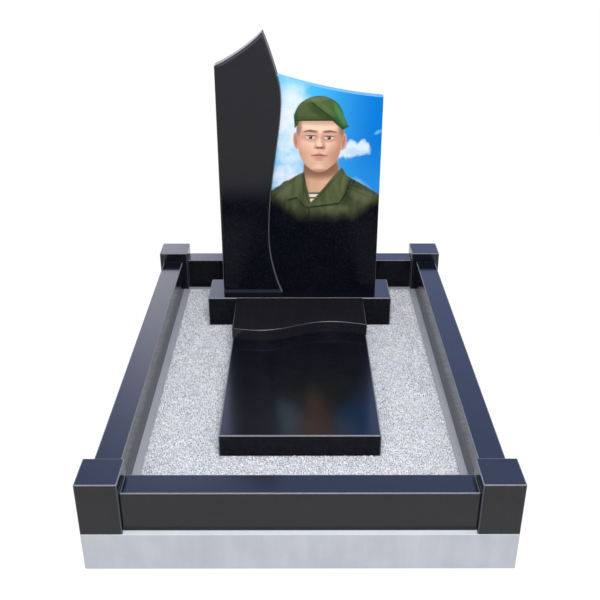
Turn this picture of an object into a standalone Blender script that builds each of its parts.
"""A grave memorial in polished black granite, on a cast concrete foundation ring.

A stele of two slabs stands on a base block at the back. A ledger slab with a wavy step on it
lies in front of the base. Kerb rails between four corner posts close the plot, and a bed of
light chippings fills it. The front faces -Y, and the origin is under the middle of the plot,
on the ground.
"""
import bpy
import bmesh
from math import radians
from mathutils import Vector
from mathutils.geometry import interpolate_bezier

# Driving dimensions, in metres
PLOT_WIDTH = 1.50
PLOT_LENGTH = 2.07

RING_HEIGHT = 0.155
RING_WIDTH = 0.15

POST_SIDE = 0.145
POST_HEIGHT = 0.21

KERB_THICKNESS = 0.10
KERB_HEIGHT = 0.16
KERB_SETBACK = 0.02

BASE_WIDTH = 0.905
BASE_DEPTH = 0.22
BASE_HEIGHT = 0.15
BASE_FRONT = 1.51

LEDGER_WIDTH = 0.625
LEDGER_THICKNESS = 0.095
LEDGER_FRONT = 0.435
STEP_THICKNESS = BASE_HEIGHT - LEDGER_THICKNESS

STELE_WIDTH = 0.76
WAVE_THICKNESS = 0.10
PANEL_THICKNESS = 0.05
WAVE_SHOULDER = 1.111

# Distance kept between pieces that touch
JOINT = 0.0003

# Radii of the polished edges
KERB_EDGE = 0.008
BASE_EDGE = 0.010
WAVE_EDGE = 0.013
PANEL_EDGE = 0.004
CONCRETE_EDGE = 0.004
POLISHED_SEGMENTS = 3
PANEL_SEGMENTS = 2

# Distances such as BASE_FRONT are measured from the plot's front, and heights of the stele
# from the top of its base
PLOT_FRONT = -PLOT_LENGTH / 2
BED_LEVEL = RING_HEIGHT
BASE_TOP = BED_LEVEL + BASE_HEIGHT
STELE_MIDDLE = PLOT_FRONT + BASE_FRONT + BASE_DEPTH / 2

# The seam between the stele's two slabs, from the tip down. Each knot has its place (x, z), its
# lean (sideways run for each metre of rise), and the length of its handle above and below.
SEAM_KNOTS = {
    "tip": ((-0.164, 1.258), -0.42, 0.0, 0.060),
    "shoulder": ((-0.0995, 1.068), -0.29, 0.060, 0.040),
    "bulge": ((-0.084, 0.955), 0.0, 0.045, 0.140),
    "waist": ((-0.148, 0.300), 0.0, 0.260, 0.120),
    "foot": ((-0.0855, 0.0), -0.44, 0.060, 0.0),
}

# The front edge of the step, from the left: each knot has its place (x, distance from the
# plot's front), its slope, and the length of its handle to the left and to the right.
STEP_KNOTS = (
    ((-LEDGER_WIDTH / 2, 1.199), -0.30, 0.0, 0.040),
    ((-0.185, 1.178), 0.0, 0.045, 0.130),
    ((0.145, 1.264), 0.0, 0.130, 0.060),
    ((LEDGER_WIDTH / 2, 1.232), -0.25, 0.060, 0.0),
)


def make_collection(name):
    collection = bpy.data.collections.new(name)
    bpy.context.scene.collection.children.link(collection)
    return collection


def make_material(name, colour, roughness):
    material = bpy.data.materials.new(name)
    material.use_nodes = True
    shader = material.node_tree.nodes["Principled BSDF"]
    shader.inputs["Base Color"].default_value = (*colour, 1.0)
    shader.inputs["Roughness"].default_value = roughness
    shader.inputs["Metallic"].default_value = 0.0
    material.diffuse_color = (*colour, 1.0)
    return material


def add_object(name, mesh, collection, material, location):
    obj = bpy.data.objects.new(name, mesh)
    obj.location = location
    mesh.materials.append(material)
    collection.objects.link(obj)
    return obj


def round_edges(obj, radius, segments, sharp):
    """Round a piece's outward edges, but not those named as sharp.

    "down" and "back" are the edges around that side, and "across" those that run from the
    front to the back, so that the corners of an upright slab stay pointed.
    """
    bm = bmesh.new()
    bm.from_mesh(obj.data)
    weight = bm.edges.layers.float.new("bevel_weight_edge")
    lowest = min(vertex.co.z for vertex in bm.verts)
    rearmost = max(vertex.co.y for vertex in bm.verts)
    for edge in bm.edges:
        start, end = (vertex.co for vertex in edge.verts)
        directions = {
            "down": max(start.z, end.z) < lowest + JOINT,
            "back": min(start.y, end.y) > rearmost - JOINT,
            "across": abs(start.y - end.y) > JOINT,
        }
        is_sharp = any(directions[name] for name in sharp)
        if edge.calc_face_angle_signed(0.0) > radians(40) and not is_sharp:
            edge[weight] = 1.0
    bm.to_mesh(obj.data)
    bm.free()
    bevel = obj.modifiers.new("polished edges", "BEVEL")
    bevel.limit_method = "WEIGHT"
    bevel.width = radius
    bevel.segments = segments
    bevel.use_clamp_overlap = False


def block(name, low, high, collection, material):
    """A box between its lowest and its highest corner."""
    size = Vector(high) - Vector(low)
    bm = bmesh.new()
    bmesh.ops.create_cube(bm, size=1.0)
    bmesh.ops.scale(bm, vec=size, verts=bm.verts)
    mesh = bpy.data.meshes.new(name)
    bm.to_mesh(mesh)
    bm.free()
    return add_object(name, mesh, collection, material, (Vector(low) + Vector(high)) / 2)


def slab(name, outlines, thickness, location, upright, collection, material):
    """A slab cut to flat outlines, lying, or upright with its face to the front."""
    curve = bpy.data.curves.new(name, "CURVE")
    curve.dimensions = "2D"
    curve.fill_mode = "BOTH"
    curve.extrude = thickness / 2
    for outline in outlines:
        spline = curve.splines.new("POLY")
        spline.points.add(len(outline) - 1)
        for point, (x, y) in zip(spline.points, outline):
            point.co = (x, y, 0.0, 1.0)
        spline.use_cyclic_u = True
    source = bpy.data.objects.new(name + "_outline", curve)
    collection.objects.link(source)
    bpy.context.view_layer.update()
    evaluated = source.evaluated_get(bpy.context.evaluated_depsgraph_get())
    mesh = bpy.data.meshes.new_from_object(evaluated)
    mesh.name = name
    mesh.materials.clear()
    bpy.data.objects.remove(source)

    bm = bmesh.new()
    bm.from_mesh(mesh)
    bmesh.ops.remove_doubles(bm, verts=bm.verts, dist=0.00005)
    bmesh.ops.dissolve_limit(bm, angle_limit=radians(0.05), verts=bm.verts, edges=bm.edges)
    if upright:
        for vertex in bm.verts:
            x, z, y = vertex.co
            vertex.co = (x, -y, z)
    bmesh.ops.recalc_face_normals(bm, faces=bm.faces)
    bm.to_mesh(mesh)
    bm.free()
    return add_object(name, mesh, collection, material, location)


def curve_between(start, start_handle, end_handle, end, pieces):
    """Points along a curve, without its last point."""
    flat = [Vector((x, y, 0.0)) for x, y in (start, start_handle, end_handle, end)]
    return [(point.x, point.y) for point in interpolate_bezier(*flat, pieces + 1)][:-1]


def seam(first, pieces_for_metre=36):
    """Points of the seam from a knot down to its foot, closer together where it turns."""
    names = list(SEAM_KNOTS)
    knots = [SEAM_KNOTS[name] for name in names[names.index(first):]]
    points = []
    for (upper, upper_lean, _, below), (lower, lower_lean, above, _) in zip(knots, knots[1:]):
        leave = (upper[0] - upper_lean * below, upper[1] - below)
        arrive = (lower[0] + lower_lean * above, lower[1] + above)
        pieces = max(5, round((upper[1] - lower[1]) * pieces_for_metre))
        points += curve_between(upper, leave, arrive, lower, pieces)
    return points + [knots[-1][0]]


def wave_outline():
    """The front slab: a straight left side, a hollow top rising to the tip, and the seam."""
    left = -STELE_WIDTH / 2
    tip = SEAM_KNOTS["tip"][0]
    shoulder = (left, WAVE_SHOULDER)
    leave = (left + 0.065, WAVE_SHOULDER + 0.028)
    arrive = (tip[0] - 0.051, tip[1] - 0.055)
    top = curve_between(shoulder, leave, arrive, tip, 12)
    return [(left, 0.0)] + top + seam("tip")


def panel_outline():
    """The picture panel: the seam on its left and a top that falls to its right side."""
    right = STELE_WIDTH / 2
    start = SEAM_KNOTS["shoulder"][0]
    corner = (right, 0.973)
    leave = (start[0] + 0.16, start[1] - 0.048)
    arrive = (corner[0] - 0.16, corner[1] + 0.013)
    top = curve_between(start, leave, arrive, corner, 14)
    shifted_seam = [(x + JOINT, z) for x, z in seam("shoulder")]
    return shifted_seam + [(right, 0.0), corner] + top[:0:-1]


def step_outline():
    """The step: a wavy front edge, and straight sides back to the base."""
    front = []
    for (left, left_slope, _, after), (right, right_slope, before, _) in zip(STEP_KNOTS, STEP_KNOTS[1:]):
        leave = (left[0] + after, left[1] + left_slope * after)
        arrive = (right[0] - before, right[1] - right_slope * before)
        front += curve_between(left, leave, arrive, right, max(4, round((right[0] - left[0]) * 45)))
    front.append(STEP_KNOTS[-1][0])
    back = BASE_FRONT - JOINT
    return front + [(LEDGER_WIDTH / 2, back), (-LEDGER_WIDTH / 2, back)]


def rectangle(half_width, half_length):
    return [(-half_width, -half_length), (half_width, -half_length),
            (half_width, half_length), (-half_width, half_length)]


def build_foundation(collection, concrete, chippings):
    half_width, half_length = PLOT_WIDTH / 2, PLOT_LENGTH / 2
    inner_width, inner_length = half_width - RING_WIDTH, half_length - RING_WIDTH
    ring = slab("foundation_ring", [rectangle(half_width, half_length), rectangle(inner_width, inner_length)],
                RING_HEIGHT, (0.0, 0.0, RING_HEIGHT / 2), False, collection, concrete)
    round_edges(ring, CONCRETE_EDGE, 1, ("down",))
    block("gravel_bed", (-inner_width + JOINT, -inner_length + JOINT, 0.0),
          (inner_width - JOINT, inner_length - JOINT, BED_LEVEL), collection, chippings)


def build_surround(collection, granite):
    """The four corner posts, and the kerb rails between them."""
    foot = RING_HEIGHT + JOINT
    outer_x, outer_y = PLOT_WIDTH / 2, PLOT_LENGTH / 2
    for side, x_sign in (("left", -1), ("right", 1)):
        for end, y_sign in (("front", -1), ("back", 1)):
            xs = sorted((x_sign * outer_x, x_sign * (outer_x - POST_SIDE)))
            ys = sorted((y_sign * outer_y, y_sign * (outer_y - POST_SIDE)))
            post = block(f"post_{end}_{side}", (xs[0], ys[0], foot),
                         (xs[1], ys[1], RING_HEIGHT + POST_HEIGHT), collection, granite)
            round_edges(post, KERB_EDGE, POLISHED_SEGMENTS, ("down",))

    top = RING_HEIGHT + KERB_HEIGHT
    reach_x = outer_x - POST_SIDE - JOINT
    reach_y = outer_y - POST_SIDE - JOINT
    for side, sign in (("left", -1), ("right", 1)):
        xs = sorted((sign * (outer_x - KERB_SETBACK), sign * (outer_x - KERB_SETBACK - KERB_THICKNESS)))
        rail = block(f"kerb_{side}", (xs[0], -reach_y, foot), (xs[1], reach_y, top), collection, granite)
        round_edges(rail, KERB_EDGE, POLISHED_SEGMENTS, ("down",))
    for end, sign in (("front", -1), ("back", 1)):
        ys = sorted((sign * (outer_y - KERB_SETBACK), sign * (outer_y - KERB_SETBACK - KERB_THICKNESS)))
        rail = block(f"kerb_{end}", (-reach_x, ys[0], foot), (reach_x, ys[1], top), collection, granite)
        round_edges(rail, KERB_EDGE, POLISHED_SEGMENTS, ("down",))


def build_ledger(collection, granite):
    """The base block, the ledger slab in front of it, and the wavy step on the ledger."""
    foot = BED_LEVEL + JOINT
    base_front = PLOT_FRONT + BASE_FRONT
    base = block("base_block", (-BASE_WIDTH / 2, base_front, foot),
                 (BASE_WIDTH / 2, base_front + BASE_DEPTH, BASE_TOP), collection, granite)
    round_edges(base, BASE_EDGE, POLISHED_SEGMENTS, ("down",))

    ledger_top = BED_LEVEL + LEDGER_THICKNESS
    ledger = block("ledger_slab", (-LEDGER_WIDTH / 2, PLOT_FRONT + LEDGER_FRONT, foot),
                   (LEDGER_WIDTH / 2, base_front - JOINT, ledger_top), collection, granite)
    round_edges(ledger, BASE_EDGE, POLISHED_SEGMENTS, ("down", "back"))

    step_height = STEP_THICKNESS - JOINT
    step = slab("ledger_step", [step_outline()], step_height,
                (0.0, PLOT_FRONT, BASE_TOP - step_height / 2), False, collection, granite)
    round_edges(step, BASE_EDGE, POLISHED_SEGMENTS, ("down", "back"))


def build_stele(collection, granite, picture):
    """The two slabs of the stele, both in the middle of the base, the panel the thinner one."""
    place = (0.0, STELE_MIDDLE, BASE_TOP + JOINT)
    wave = slab("stele_wave", [wave_outline()], WAVE_THICKNESS, place, True, collection, granite)
    round_edges(wave, WAVE_EDGE, POLISHED_SEGMENTS, ("down", "across"))
    panel = slab("stele_panel", [panel_outline()], PANEL_THICKNESS, place, True, collection, picture)
    round_edges(panel, PANEL_EDGE, PANEL_SEGMENTS, ("down", "across"))


def main():
    for obj in list(bpy.data.objects):
        bpy.data.objects.remove(obj)
    memorial = make_collection("headstone")
    granite = make_material("polished_black_granite", (0.012, 0.012, 0.015), 0.08)
    picture = make_material("printed_granite", (0.05, 0.30, 0.75), 0.25)
    concrete = make_material("cast_concrete", (0.50, 0.51, 0.56), 0.85)
    chippings = make_material("light_chippings", (0.62, 0.62, 0.66), 0.70)
    build_foundation(memorial, concrete, chippings)
    build_surround(memorial, granite)
    build_ledger(memorial, granite)
    build_stele(memorial, granite, picture)


main()
